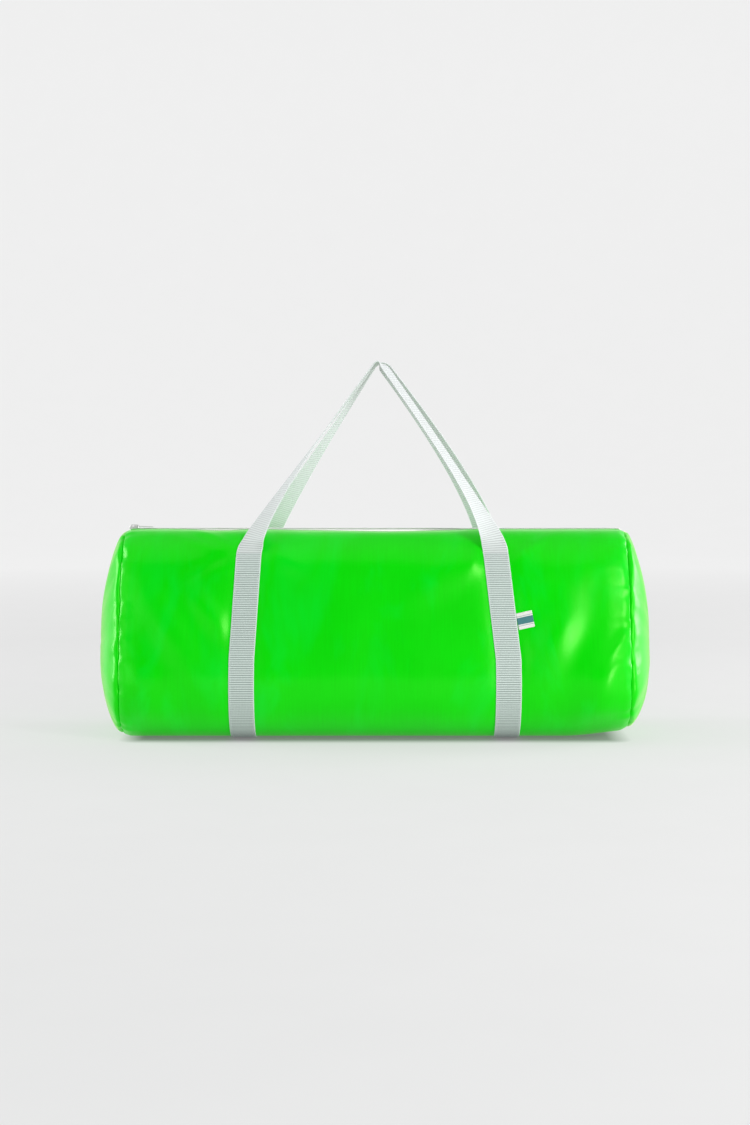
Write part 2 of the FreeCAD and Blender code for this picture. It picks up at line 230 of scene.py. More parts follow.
def closed_mesh():
    """Starting points, flat-cut points and faces of the whole closed cloth shell."""
    yz, _ = section(SS)
    turn = SS / CUT_RADIUS
    start = tube_points(yz)
    cut = tube_points(CUT_RADIUS * np.stack([-np.sin(turn), np.cos(turn)], -1))
    faces = grid_faces(NX, NS, closed=True)
    points, cuts = [start.reshape(-1, 3)], [cut.reshape(-1, 3)]
    count = NX * NS
    ends = {}
    for side in (LEFT, RIGHT):
        first = 0 if side == LEFT else (NX - 1) * NS
        rows = [list(range(first, first + NS))]
        for k, stride in RINGS + [CENTRE]:
            flat = np.stack([yz[::stride, 0] * k, DOME_Z + (yz[::stride, 1] - DOME_Z) * k], -1)
            x = side * (HALF_LENGTH + dome_bulge(k))
            points.append(np.column_stack([np.full(len(flat), x), flat]))
            cuts.append(cuts[0][rows[0][::stride]] * (1, k, k))
            rows.append(list(range(count, count + len(flat))))
            count += len(flat)
            new = ring_faces(*rows[-2:])
            faces += [f[::-1] for f in new] if side == LEFT else new
        ends[side] = rows
    return np.concatenate(points), np.concatenate(cuts), faces, ends


def webbing_gap():
    """Distance of each tube vertex from the nearest webbing, below 0 underneath it."""
    yz, _ = section(SS)
    gap = np.full((NX, NS), HALF_LENGTH)
    for side, face in STRAP_LEAN:
        on_face = (SS >= 0) if face == FRONT else (SS <= 0)
        aside = np.abs(XS[:, None] - strap_centre(side, face, yz[:, 1])[None]) - WEB_HALF
        above = np.broadcast_to(FOLD_S - np.abs(SS), aside.shape)
        outside = np.hypot(np.maximum(aside, 0), np.maximum(above, 0))
        here = np.where(outside > 0, outside, np.maximum(aside, above))
        gap[:, on_face] = np.minimum(gap, here)[:, on_face]
    return gap


FREE_HOLD, FOOT_HOLD = 0.30, 0.45


def holds(points):
    """How firmly each vertex is held: 1 under webbing and zip, a little elsewhere."""
    grip = np.full((NX, NS), FREE_HOLD)
    grip[webbing_gap() < -2 * MM] = 1.0
    grip[:, np.abs(SS) <= MOUTH_HALF + 1e-6] = 1.0
    foot = np.abs(SS) > SECTION_ENDS[3]
    grip[:, foot] = np.maximum(grip[:, foot], FOOT_HOLD)
    return np.concatenate([grip.ravel(), np.full(len(points) - NX * NS, FREE_HOLD)])


CLOTH_SETTINGS = {
    "quality": 6,
    "mass": 0.04,
    "air_damping": 4,
    "bending_model": "ANGULAR",
    "tension_stiffness": 30,
    "compression_stiffness": 30,
    "shear_stiffness": 8,
    "bending_stiffness": 2.0,
    "tension_damping": 8,
    "compression_damping": 8,
    "shear_damping": 4,
    "bending_damping": 0.5,
    "pin_stiffness": 1.2,
    "use_pressure": True,
    "uniform_pressure_force": 2.5,
    "shrink_min": -0.012,
    "shrink_max": 0.035,
    "vertex_group_mass": "pin",
    "vertex_group_shrink": "shrink",
}
FRAMES = 24


def new_object(name, data):
    obj = bpy.data.objects.new(name, data)
    bpy.context.scene.collection.objects.link(obj)
    return obj


def simulate(points, cuts, faces, hold, seam):
    mesh = bpy.data.meshes.new("cloth_sim")
    mesh.from_pydata(points.tolist(), [], faces)
    obj = new_object("cloth_sim", mesh)
    obj.shape_key_add(name="Basis")
    key = obj.shape_key_add(name="cut")
    key.data.foreach_set("co", cuts.astype(np.float32).ravel())
    key.value = 0
    for name, weights in (("pin", hold), ("shrink", seam)):
        group = obj.vertex_groups.new(name=name)
        for w in np.unique(weights):
            group.add(np.nonzero(weights == w)[0].tolist(), float(w), "REPLACE")
    cloth = obj.modifiers.new("Cloth", "CLOTH")
    for setting, value in CLOTH_SETTINGS.items():
        setattr(cloth.settings, setting, value)
    cloth.settings.rest_shape_key = key
    cloth.settings.effector_weights.gravity = 0
    cloth.collision_settings.use_collision = False
    cloth.collision_settings.use_self_collision = False
    cloth.point_cache.frame_start = 1
    cloth.point_cache.frame_end = FRAMES
    scene = bpy.context.scene
    scene.frame_start, scene.frame_end = 1, FRAMES
    for f in range(1, FRAMES + 1):
        scene.frame_set(f)
    graph = bpy.context.evaluated_depsgraph_get()
    result = np.empty(len(points) * 3, np.float32)
    obj.evaluated_get(graph).data.vertices.foreach_get("co", result)
    result = result.reshape(-1, 3).astype(float)
    scene.frame_set(1)
    bpy.data.objects.remove(obj)
    return result


# ---------------- mesh helpers
def mesh_object(name, points, faces, uv=None, flat=False):
    """A mesh piece; uv is one (u, v) in metres per vertex."""
    mesh = bpy.data.meshes.new(name)
    mesh.from_pydata(np.asarray(points, float).tolist(), [], faces)
    mesh.validate()
    if not flat:
        mesh.polygons.foreach_set("use_smooth", np.ones(len(mesh.polygons), bool))
    if uv is not None:
        layer = mesh.uv_layers.new(name="UVMap")
        index = np.empty(len(mesh.loops), np.int32)
        mesh.loops.foreach_get("vertex_index", index)
        layer.data.foreach_set("uv", np.asarray(uv, np.float32)[index].ravel())
    return new_object(name, mesh)


def grid_faces(rows, cols, closed=False, flip=False):
    faces = []
    for i in range(rows - 1):
        for j in range(cols if closed else cols - 1):
            k = (j + 1) % cols
            f = (i * cols + j, i * cols + k, (i + 1) * cols + k, (i + 1) * cols + j)
            faces.append(f[::-1] if flip else f)
    return faces


def grid_uv(u, v):
    """One (u, v) per point of a grid, from arrays that broadcast to it."""
    return np.stack(np.broadcast_arrays(u, v), -1).reshape(-1, 2)


def tube_faces(rows, cols):
    """Faces of a tube of closed rows of cols points, with its two end faces."""
    caps = [tuple(range(cols))[::-1], tuple(range((rows - 1) * cols, rows * cols))]
    return grid_faces(rows, cols, closed=True) + caps


def unit(v):
    v = np.asarray(v, float)
    return v / np.maximum(np.linalg.norm(v, axis=-1, keepdims=True), 1e-12)


def run_length(points):
    """Distance gone along a line of points, at each of them."""
    steps = np.linalg.norm(np.diff(points, axis=0), axis=1)
    return np.concatenate([[0], np.cumsum(steps)])


def resample(rows, gone, places):
    """Rows given at the distances gone, worked out at other places."""
    return np.stack([np.interp(places, gone, rows[:, k]) for k in range(3)], 1)


def circles(across, up, sides):
    """Unit circles in the planes of two rows of vectors."""
    turn = np.arange(sides) * 2 * math.pi / sides
    across = across[:, None] * np.cos(turn)[None, :, None]
    return across + up[:, None] * np.sin(turn)[None, :, None]


def subdivide(obj):
    m = obj.modifiers.new("Subdivision", "SUBSURF")
    m.levels = m.render_levels = 1
    m.boundary_smooth = "PRESERVE_CORNERS"
    bake_modifiers(obj)


def bake_modifiers(obj):
    graph = bpy.context.evaluated_depsgraph_get()
    mesh = bpy.data.meshes.new_from_object(obj.evaluated_get(graph))
    obj.modifiers.clear()
    obj.data = mesh


# ---------------- materials
WAVE_UNIT = 2 * math.pi / 20  # a wave texture at scale 1 has this period


class Nodes:
    """A new material, with short calls for building its nodes."""

    def __init__(self, name):
        self.material = bpy.data.materials.new(name)
        self.material.use_nodes = True
        self.tree = self.material.node_tree
        self.shader = self.tree.nodes["Principled BSDF"]

    def surface(self, **inputs):
        """Sets or links inputs of the surface shader; _ stands for a space."""
        for key, value in inputs.items():
            self.put(self.shader, key.replace("_", " "), value)

    def put(self, node, key, value):
        if isinstance(value, bpy.types.NodeSocket):
            self.tree.links.new(value, node.inputs[key])
        elif value is not None:
            node.inputs[key].default_value = value

    def new(self, kind, settings=(), **inputs):
        node = self.tree.nodes.new("ShaderNode" + kind)
        for key, value in dict(settings).items():
            setattr(node, key, value)
        for key, value in inputs.items():
            self.put(node, int(key[1:]) if key[0] == "i" and key[1:].isdigit() else key, value)
        return node

    def math(self, op, a, b=None):
        return self.new("Math", {"operation": op}, i0=a, i1=b).outputs[0]

    def times(self, a, b):
        return self.math("MULTIPLY", a, b)

    def plus(self, a, b):
        return self.math("ADD", a, b)

    def coord(self, source="UV"):
        return self.new("TexCoord").outputs[source]

    def split(self, vector):
        return self.new("SeparateXYZ", (), i0=vector).outputs

    def noise(self, stretch, detail=3.0, rough=0.5, distortion=0.0, source="UV"):
        vector = self.new("Mapping", (), Vector=self.coord(source), Scale=stretch).outputs[0]
        inputs = {"Scale": 1.0, "Detail": detail, "Roughness": rough, "Distortion": distortion}
        return self.new("TexNoise", (), Vector=vector, **inputs).outputs["Fac"]

    def wave(self, period, direction, distortion, source="UV"):
        """Even bands at a period in metres."""
        bands = {"wave_type": "BANDS", "bands_direction": direction, "wave_profile": "SIN"}
        inputs = {"Scale": WAVE_UNIT / period, "Distortion": distortion}
        return self.new("TexWave", bands, Vector=self.coord(source), **inputs).outputs["Fac"]

    def span(self, value, low, high, to_low, to_high):
        ends = {"From Min": low, "From Max": high, "To Min": to_low, "To Max": to_high}
        return self.new("MapRange", (), Value=value, **ends).outputs[0]

    def mix(self, factor, a, b):
        return self.new("Mix", {"data_type": "RGBA"}, i0=factor, i6=a, i7=b).outputs[2]

    def bump(self, height, distance, strength=1.0, normal=None):
        inputs = {"Distance": distance, "Strength": strength, "Normal": normal}
        return self.new("Bump", (), Height=height, **inputs).outputs[0]


def nylon(name, sheen):
    """Coated plain-weave nylon in a fluorescent green, with a fine upright grain; its glow is
    partly painted.
    """
    n = Nodes(name)
    weave = n.plus(n.wave(0.0009, "X", 0.6), n.wave(0.0011, "Y", 0.6))
    grain = n.noise((420, 16, 1), 2.0)
    cloud = n.noise((9, 9, 1), 3.0, 0.55)
    patch = n.noise((14, 5, 1), 4.0, 0.6, 0.6)
    crush = n.noise((26, 26, 1), 3.0, 0.5, 0.8)
    tone = n.plus(n.times(grain, 0.35), n.times(cloud, 0.65))
    colour = n.mix(n.span(tone, 0.35, 0.65, 0, 1), (0.0, 0.38, 0.0, 1), (0.0, 0.44, 0.001, 1))
    colour = n.mix(n.span(patch, 0.50, 0.68, 0, 0.75), colour, (0.0, 0.47, 0.018, 1))
    n.surface(Base_Color=colour, Roughness=n.span(patch, 0.3, 0.7, 0.34, 0.29))
    fine = n.bump(weave, 0.00004, 0.3)
    soft = n.bump(grain, 0.0001, 0.25, fine)
    n.surface(Normal=n.bump(crush, 0.0014, 0.3, soft), Specular_IOR_Level=0.44)
    n.surface(Specular_Tint=(0.48, 1.0, 0.28, 1), Sheen_Weight=sheen, Sheen_Roughness=0.3)
    # The green emission is partly the cloth's real fluorescence and partly a painted glow,
    # which lights it evenly, shaded parts too.
    n.surface(Sheen_Tint=(0.85, 1.0, 0.42, 1), Emission_Color=(0.0, 0.95, 0.002, 1))
    n.surface(Emission_Strength=0.22)
    return n.material


def webbing(name, glow_colour, glow):
    """White ribbed webbing; u is across from -1 to 1, v is length in ribs."""
    n = Nodes(name)
    u, v, _ = n.split(n.coord())
    phase = n.times(v, 2 * math.pi)
    rib = n.math("COSINE", phase)
    yarn = n.math("SINE", n.times(u, math.pi * 17))
    stagger = n.math("SINE", n.plus(n.times(u, math.pi * 34), phase))
    edge = n.span(n.math("ABSOLUTE", u), 0.90, 0.95, 0, 1)
    inside = n.math("SUBTRACT", 1.0, edge)
    # Painted shade: the grooves between the ribs are darkened in the colour.
    groove = n.times(n.span(rib, -1.0, 0.1, 1, 0), inside)
    fuzz = n.noise((60, 3, 1), 4.0, 0.6)
    colour = n.mix(groove, (0.46, 0.53, 0.495, 1), (0.05, 0.08, 0.068, 1))
    yarns = n.times(n.span(stagger, 0.2, 1, 0, 0.3), inside)
    colour = n.mix(yarns, colour, (0.30, 0.37, 0.335, 1))
    colour = n.mix(edge, colour, (0.46, 0.52, 0.49, 1))
    colour = n.mix(n.span(fuzz, 0.3, 0.75, 0, 0.18), colour, (0.72, 0.78, 0.75, 1))
    # Painted light: above the hinge, on the handles' free run, the colour is lighter, as if lit
    # more from above.
    up = n.split(n.coord("Object"))[2]
    free = n.span(up, HINGE_Z - 0.03, HINGE_Z + 0.05, 0, 0.6)
    colour = n.mix(free, colour, (0.54, 0.56, 0.57, 1))
    # glow_colour and glow give a painted glow that brightens the webbing.
    n.surface(Base_Color=colour, Emission_Color=glow_colour, Emission_Strength=glow)
    n.surface(Roughness=0.55, Specular_IOR_Level=0.35)
    height = n.plus(n.times(yarn, 0.35), n.times(stagger, 0.5))
    n.surface(Normal=n.bump(n.times(height, inside), 0.00025, 0.6))
    return n.material


def thread(name, colour, glow):
    n = Nodes(name)
    twist = n.wave(0.0008, "DIAGONAL", 1.0, "Object")
    dark = tuple(c * 0.72 for c in colour[:3]) + (1,)
    n.surface(Base_Color=n.mix(twist, dark, colour), Normal=n.bump(twist, 0.0001, 0.5))
    # The emission is a painted glow that brightens the thread.
    n.surface(Roughness=0.5, Emission_Color=colour, Emission_Strength=glow)
    return n.material


def woven_tape(name, colour, glow):
    n = Nodes(name)
    long_ribs = n.wave(0.0011, "Y", 0.3, "Object")
    cross = n.wave(0.0008, "X", 0.4, "Object")
    fuzz = n.noise((400, 400, 400), 3.0, source="Object")
    weave = n.times(long_ribs, cross)
    dark = tuple(c * 0.8 for c in colour[:3]) + (1,)
    tone = n.plus(n.times(weave, 0.7), n.times(fuzz, 0.3))
    n.surface(Base_Color=n.mix(tone, dark, colour), Normal=n.bump(weave, 0.00015, 0.6))
    # The emission is a painted glow that brightens the tape.
    n.surface(Roughness=0.7, Sheen_Weight=0.15, Emission_Color=colour, Emission_Strength=glow)
    return n.material


def nylon_coil():
    n = Nodes("coil_white")
    fuzz = n.noise((700, 700, 700), 2.0, source="Object")
    n.surface(Base_Color=n.mix(fuzz, (0.72, 0.72, 0.70, 1), (0.84, 0.84, 0.82, 1)))
    n.surface(Roughness=n.span(fuzz, 0.3, 0.7, 0.28, 0.4), Subsurface_Weight=0.05)
    return n.material


def plated_metal():
    n = Nodes("plated_zinc")
    wear = n.noise((900, 900, 900), 4.0, 0.6, source="Object")
    cast = n.noise((160, 160, 160), 3.0, source="Object")
    n.surface(Base_Color=n.mix(cast, (0.55, 0.55, 0.545, 1), (0.70, 0.70, 0.69, 1)))
    n.surface(Roughness=n.span(wear, 0.3, 0.7, 0.2, 0.38), Normal=n.bump(wear, 0.00003, 0.3))
    n.surface(Metallic=1.0)
    return n.material


def label_cloth():
    """Plain satin label: a woven band across its middle and a fine border, no lettering."""
    n = Nodes("label_satin")
    v = n.split(n.coord())[1]
    middle = n.math("ABSOLUTE", n.math("SUBTRACT", v, 0.5))
    band = n.plus(n.span(middle, 0.20, 0.215, 1, 0), n.span(middle, 0.26, 0.27, 0, 0.6))
    band = n.times(band, n.span(middle, 0.30, 0.31, 1, 0))
    weave = n.wave(0.028, "Y", 0.1)
    colour = n.mix(band, (0.72, 0.72, 0.68, 1), (0.03, 0.17, 0.18, 1))
    colour = n.mix(n.times(weave, 0.12), colour, (0.25, 0.25, 0.25, 1))
    n.surface(Base_Color=colour, Normal=n.bump(weave, 0.00008, 0.5), Roughness=0.5)
    n.surface(Sheen_Weight=0.1)
    return n.material


NYLON = nylon("nylon_green", 0.1)
END_NYLON = nylon("nylon_green_end", 0.7)
# The glow of each webbing, thread and tape material below is painted light; the handles get a
# stronger one than the straps.
WEBBING = webbing("webbing_white", (0.85, 1.0, 0.97, 1), 0.06)
HANDLE_WEBBING = webbing("webbing_handle", (1.0, 0.90, 0.95, 1), 0.13)
WHITE_THREAD = thread("thread_white", (0.60, 0.66, 0.63, 1), 0.06)
GREEN_THREAD = thread("thread_green", (0.0, 0.42, 0.004, 1), 0.16)
TAPE = woven_tape("zip_tape_white", (0.82, 0.80, 0.78, 1), 0.28)
BINDING = woven_tape("binding_green", (0.0, 0.34, 0.004, 1), 0.12)
COIL = nylon_coil()
METAL = plated_metal()
LABEL = label_cloth()


def finish_piece(obj, mat, slot, body, *nodes):
    obj.data.materials.clear()
    obj.data.materials.append(mat)
    if nodes:
        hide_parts(*nodes)
    if body:
        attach(obj, body)
    return obj


# ---------------- cloth shell
def relax(shift, faces, keep, rounds):
    """Even out each vertex's shift with its neighbours', except where keep is 1."""
    pairs = np.array([(f[i], f[i - 1]) for f in faces for i in range(len(f))])
    a, b = np.concatenate([pairs, pairs[:, ::-1]]).T
    count = np.bincount(a, minlength=len(shift))[:, None]
    keep = keep[:, None]
    for _ in range(rounds):
        total = np.stack([np.bincount(a, shift[b, k], len(shift)) for k in range(3)], 1)
        shift = shift * keep + total / count * (1 - keep)
    return shift


# Soft folds of the front, in mm: x and distance from the zip of the middle, half length,
# half width, lean of the crest to the right in degrees, height
FOLDS = [
    (271, 224, 42, 21, 20, 13.0),
    (333, 298, 50, 24, 6, 14.0),
    (268, 150, 45, 20, 62, 4.0),
    (363, 236, 22, 6.5, 33, 4.0),
    (361, 268, 20, 6.5, 42, 3.4),
    (-300, 222, 62, 19, -30, 7.0),
    (-250, 186, 34, 13, -38, 5.5),
    (-345, 300, 50, 20, -16, 4.5),
    (100, 130, 46, 20, 55, 4.6),
    (150, 108, 26, 8, 38, 2.4),
    (-140, 96, 30, 11, -48, 3.2),
    (-50, 250, 80, 30, 12, 3.6),
    (70, 320, 70, 26, -20, 3.6),
    (-238, 70, 30, 6.5, -50, 3.0),
    (-252, 84, 26, 6, -68, 2.6),
    (-246, 112, 28, 6.5, 58, -2.8),
    (238, 84, 26, 6.5, 50, 2.2),
]


def fold_height(x, s):
    """Outward height of the soft folds at places (x, s); the back has them the other way."""
    total = np.zeros(np.broadcast(x, s).shape)
    for face in (FRONT, BACK):
        here = np.where(s * -face >= 0, 1.0 if face == FRONT else 0.8, 0.0)
        for x0, s0, half, wide, lean, height in FOLDS:
            across = -face * x - x0 * MM
            up = s0 * MM - np.abs(s)
            a = math.radians(lean)
            along = (across * math.sin(a) + up * math.cos(a)) / (half * MM)
            aside = (across * math.cos(a) - up * math.sin(a)) / (wide * MM)
            total += here * height * MM * np.exp(-0.5 * (along**2 + aside**2))
    return total


def ripple(s, lengths, seed):
    """Uneven waves round the bag, from -1 to 1, that meet where the girth closes."""
    total = np.zeros_like(s)
    for k, length in enumerate(lengths):
        turns = round(2 * HALF_GIRTH / (length * MM))
        total += np.sin(s / HALF_GIRTH * math.pi * turns + seed * (k + 1) * 1.7)
    return total / len(lengths)


LIP_DROPS = [  # x, drop of the front lip below the zip's level
    (-0.381, 0.0),
    (-0.300, 0.0),
    (-0.235, 3.0),
    (-0.195, 0.5),
    (-0.100, 2.0),
    (0.030, 4.2),
    (0.150, 0.5),
    (0.381, 0.0),
]


def lip_drop(x, face):
    run = np.linspace(-HALF_LENGTH, HALF_LENGTH, 400)
    drop = np.interp(run, *np.transpose(LIP_DROPS))
    window = np.hanning(41)
    drop = np.convolve(np.pad(drop, 20, "edge"), window / window.sum(), "valid")
    if face == BACK:
        wave = np.exp(-(((run - 0.065) / 0.03) ** 2)) * np.cos(run * 180)
        drop = 0.25 * drop[::-1] - 0.5 * wave
    return np.interp(x, run, drop) * MM


PUCKER_LENGTHS, STREAK_LENGTHS, GROOVE_LENGTHS = (17, 23, 38), (52, 75, 96), (74, 43, 31)
PUCKER, GROOVE, GROOVE_CHANGE = 1.9 * MM, 3.4 * MM, 1.8 * MM  # along the end seams
FULLNESS = 3.4 * MM  # of the cloth beside the webbing
MOST_SHIFT = 14 * MM  # that the simulation may move the cloth
CORNER_LIFT = 9 * MM  # of the low right corner
FLOOR_GAP = 0.7 * MM


def shape_tube(points):
    """Adds the folds, puckers and sags to the simulated tube, along the section's normals.

    The bare lengths are the distances in metres over which each one fades in or out.
    """
    yz, normal = section(SS)
    gap = np.maximum(webbing_gap(), 0)
    to_seam = HALF_LENGTH - np.abs(XS)[:, None]
    to_lip = np.maximum(np.abs(SS) - MOUTH_HALF, 0)[None]
    height = yz[None, :, 1]
    clear = smooth(gap / 0.016) * smooth(to_lip / 0.03) * smooth(height / 0.06)
    full = FULLNESS * (1 - np.exp(-gap / 0.013)) * smooth(to_lip / 0.05) * smooth(height / 0.07)
    out = fold_height(XS[:, None], SS[None]) * clear + full * smooth(to_seam / 0.04)
    for side in (LEFT, RIGHT):
        inward = np.maximum(HALF_LENGTH - side * XS, 0)[:, None]
        pucker = PUCKER * ripple(SS, PUCKER_LENGTHS, side)[None]
        out += np.exp(-inward / 0.010) * pucker * smooth(to_lip / 0.03)
        groove = GROOVE + GROOVE_CHANGE * ripple(SS, GROOVE_LENGTHS, side + 5)[None]
        out -= np.exp(-((inward / 0.005) ** 2)) * groove
    points[..., 1:] += normal[None] * out[..., None]
    drop = np.stack([lip_drop(XS, FRONT if s >= 0 else BACK) for s in SS], 1)
    points[..., 2] -= drop * (1 - smooth((to_lip - 0.004) / 0.05))
    mouth = np.abs(SS) < MOUTH_HALF - 1e-6
    points[:, mouth, 2] += drop[:, mouth]


def shape_cloth():
    """Final points of the cloth: the tube's, then the rings of each end."""
    points, cuts, faces, ends = closed_mesh()
    hold = holds(points)
    seam = np.zeros(len(points))
    seam[:NS] = seam[(NX - 1) * NS : NX * NS] = 1
    moved = simulate(points, cuts, faces, hold, seam)
    shift = moved - points
    to_seam = np.abs(np.abs(points[:, 0]) - HALF_LENGTH)
    keep = np.maximum(0.3, 0.9 - 0.7 * smooth(to_seam / 0.03))
    shift = relax(shift, faces, np.where(hold > 0.99, 1.0, keep), 16)
    length = np.linalg.norm(shift, axis=1, keepdims=True)
    moved = points + shift * np.minimum(1, MOST_SHIFT / np.maximum(length, 1e-9))
    shape_tube(moved[: NX * NS].reshape(NX, NS, 3))
    for side in (LEFT, RIGHT):
        for (k, stride), row in zip(RINGS, ends[side][1:]):
            inward = (1 - k) * CUT_RADIUS
            pucker = ripple(SS[::stride], PUCKER_LENGTHS, side) * math.exp(-inward / 0.014)
            streak = ripple(SS[::stride], STREAK_LENGTHS, side + 3) * math.exp(-inward / 0.07)
            moved[row, 0] += side * (pucker + 2.2 * streak) * MM
    corner = smooth((moved[:, 0] - 0.285) / 0.11) * (1 - smooth(moved[:, 2] / 0.075))
    moved[:, 2] += CORNER_LIFT * corner
    moved[:, 2] = np.maximum(moved[:, 2], FLOOR_GAP)
    return moved, ends


cloth, end_rows = shape_cloth()
tube = cloth[: NX * NS].reshape(NX, NS, 3)


tube_around = np.roll(tube, -1, axis=1) - np.roll(tube, 1, axis=1)
normals = unit(np.cross(tube_around, np.gradient(tube, axis=0)))


def at(x, s):
    """Point and outward normal of the cloth at flat-cut place (x, s)."""
    x, s = np.broadcast_arrays(np.asarray(x, float), np.asarray(s, float))
    i = np.clip(np.searchsorted(XS, x) - 1, 0, NX - 2)
    fx = np.clip((x - XS[i]) / (XS[i + 1] - XS[i]), 0, 1)
    order = np.argsort(SS)
    so = SS[order]
    j = np.clip(np.searchsorted(so, s) - 1, 0, NS - 2)
    fs = np.clip((s - so[j]) / (so[j + 1] - so[j]), 0, 1)
    a, b = order[j], order[j + 1]
    out = []
    for field in (tube, normals):
        low = field[i, a] * (1 - fs)[..., None] + field[i, b] * fs[..., None]
        high = field[i + 1, a] * (1 - fs)[..., None] + field[i + 1, b] * fs[..., None]
        out.append(low * (1 - fx)[..., None] + high * fx[..., None])
    return out[0], unit(out[1])


SEAM_TURN = np.array([1.2, 8.0]) * MM  # depths of the cloth turned in at the end seams
HEM = ((1.25, 4.0), (1.25, 0.5), (0.75, -0.35), (0.2, -0.2))  # mm under the lip, mm inward


def body_piece():
    """The wrapped panel, with a turned-under hem at the zip and its ends turned in."""
    columns = slice(LIP, NS - LIP + 1)
    s_line = np.where(SS < 0, SS + 2 * HALF_GIRTH, SS)[columns]
    body, n = tube[:, columns], normals[:, columns]
    hems = []
    for k, beside in ((0, 1), (-1, -2)):
        inward = unit(body[:, beside] - body[:, k])
        hem = [body[:, k] - n[:, k] * down * MM + inward * over * MM for down, over in HEM]
        hems.append(np.stack(hem, 1))
    body = np.concatenate([hems[0], body, hems[1][:, ::-1]], 1)
    hem_front = s_line[0] + np.array([4, 0.5, -0.3, -0.1]) * MM
    hem_back = s_line[-1] + np.array([0.1, 0.3, -0.5, -4]) * MM
    s_full = np.concatenate([hem_front, s_line, hem_back])
    turned = []
    for side, k in ((LEFT, 0), (RIGHT, -1)):
        n_seam = np.pad(n[k], ((4, 4), (0, 0)), "edge")
        rows = np.stack([body[k] - n_seam * depth for depth in SEAM_TURN])
        rows[1, :, 0] -= side * 0.5 * MM
        turned.append(rows)
    body = np.concatenate([turned[0][::-1], body, turned[1]])
    xs = np.concatenate([XS[0] - SEAM_TURN[::-1], XS, XS[-1] + SEAM_TURN])
    r, c = body.shape[:2]
    uv = grid_uv(xs[:, None], s_full[None])
    obj = mesh_object("bag_body", body.reshape(-1, 3), grid_faces(r, c), uv)
    subdivide(obj)
    return finish_piece(obj, NYLON, "shell_fabric", "bag", "body_panel")


def end_piece(side):
    """A round end: rings in from the seam, and the seam edge turned in."""
    rows = end_rows[side]
    uv, faces, numbers, count = [], [], [], 0
    ring = cloth[rows[0]]
    normal = normals[0 if side == LEFT else -1]
    turned = ring - normal * 7.0 * MM
    turned[:, 0] += side * 0.9 * MM
    lip = ring - normal * 0.9 * MM
    lip[:, 0] += side * 0.7 * MM
    layers = [turned, lip] + [cloth[r] for r in rows[1:]]
    shares = [(1.04, 1), (1.0, 1)] + RINGS + [CENTRE]  # radius and vertex stride of each layer
    for layer, (share, stride) in zip(layers, shares):
        turn = SS[::stride] / CUT_RADIUS
        uv.append(CUT_RADIUS * share * np.stack([np.sin(turn), np.cos(turn)], -1))
        numbers.append(list(range(count, count + len(layer))))
        count += len(layer)
    for outer, inner in zip(numbers, numbers[1:]):
        faces += ring_faces(outer, inner)
    if side == LEFT:
        faces = [f[::-1] for f in faces]
    name = SIDE_NAME[side]
    obj = mesh_object("bag_end_" + name, np.concatenate(layers), faces, np.concatenate(uv))
    subdivide(obj)
    return finish_piece(obj, END_NYLON, "shell_fabric", "bag", "end_panel_" + name)


def binding_piece(side):
    """Tape folded over the raw edges inside an end seam."""
    column = 0 if side == LEFT else -1
    ring, normal = tube[column], normals[column]
    profile = [(-1.6, -3.4), (-1.9, -10.6), (0.3, -11.6), (2.6, -10.6), (2.3, -3.4)]
    rows = []
    for dx, dn in profile:  # mm along x and along the cloth's normal
        row = ring + normal * dn * MM
        row[:, 0] += side * dx * MM
        rows.append(row)
    points = np.stack(rows, 0)
    name = SIDE_NAME[side]
    faces = grid_faces(len(profile), NS, closed=True, flip=side == LEFT)
    obj = mesh_object("seam_tape_" + name, points.reshape(-1, 3), faces)
    return finish_piece(obj, BINDING, "binding_tape", "bag", "seam_binding_" + name)


# ---------------- webbing
RIB, RIB_DEPTH = 3.35 * MM, 0.22 * MM
ACROSS = np.array([0.25, 0.5, 0.7, 0.88, 0.93, 0.975, 1])  # stations from the middle to an edge
ACROSS = np.concatenate([-ACROSS[::-1], [0], ACROSS])


def ribbon(name, centre, width, normal, v):
    """Webbing along centre, from its half-width vectors, outer normals and v in ribs."""
    edge = np.clip((1 - np.abs(ACROSS)) / 0.07, 0, 1)
    rounding = np.sqrt(1 - (1 - edge) ** 2)
    inside = np.clip((0.93 - np.abs(ACROSS)) / 0.05, 0, 1)
    ribs = (0.5 - 0.5 * np.cos(2 * math.pi * v))[:, None] * inside[None]
    high = WEB / 2 * (0.25 + 0.75 * rounding)[None] - RIB_DEPTH * ribs
    flat = centre[:, None] + width[:, None] * ACROSS[None, :, None]
    rise = normal[:, None] * high[..., None]
    loop = np.concatenate([flat + rise, (flat - rise)[:, ::-1]], 1)
    faces = tube_faces(len(centre), loop.shape[1])
    uv = grid_uv(np.concatenate([ACROSS, ACROSS[::-1]])[None], v[:, None])
    obj = mesh_object(name, loop.reshape(-1, 3), faces, uv)
    fix_normals(obj)
    return obj


def fix_normals(obj):
    b = bmesh.new()
    b.from_mesh(obj.data)
    bmesh.ops.recalc_face_normals(b, faces=b.faces)
    b.to_mesh(obj.data)
    b.free()


RIB_STEPS = 4
LIFT = 0.35 * MM


STRAP_RUN = 2 * (HALF_GIRTH - FOLD_S)
STRAP_RIBS = round(STRAP_RUN / RIB)


def strap_line(side):
    """Stations of a strap from its front end, under the bag, to its back end."""
    count = STRAP_RIBS * RIB_STEPS + 1
    s = np.linspace(FOLD_S, 2 * HALF_GIRTH - FOLD_S, count)
    signed = np.where(s <= HALF_GIRTH, s, s - 2 * HALF_GIRTH)
    yz, n = section(signed)
    front, back = (strap_centre(side, face, yz[:, 1]) for face in (FRONT, BACK))
    x = np.where(s <= HALF_GIRTH, front, back)
    normal = np.column_stack([np.zeros(count), n])
    centre = np.column_stack([x, yz]) + normal * (WEB / 2 + LIFT)
    centre[:, 2] = np.maximum(centre[:, 2], WEB / 2 + 0.05 * MM)
    return s, centre, normal


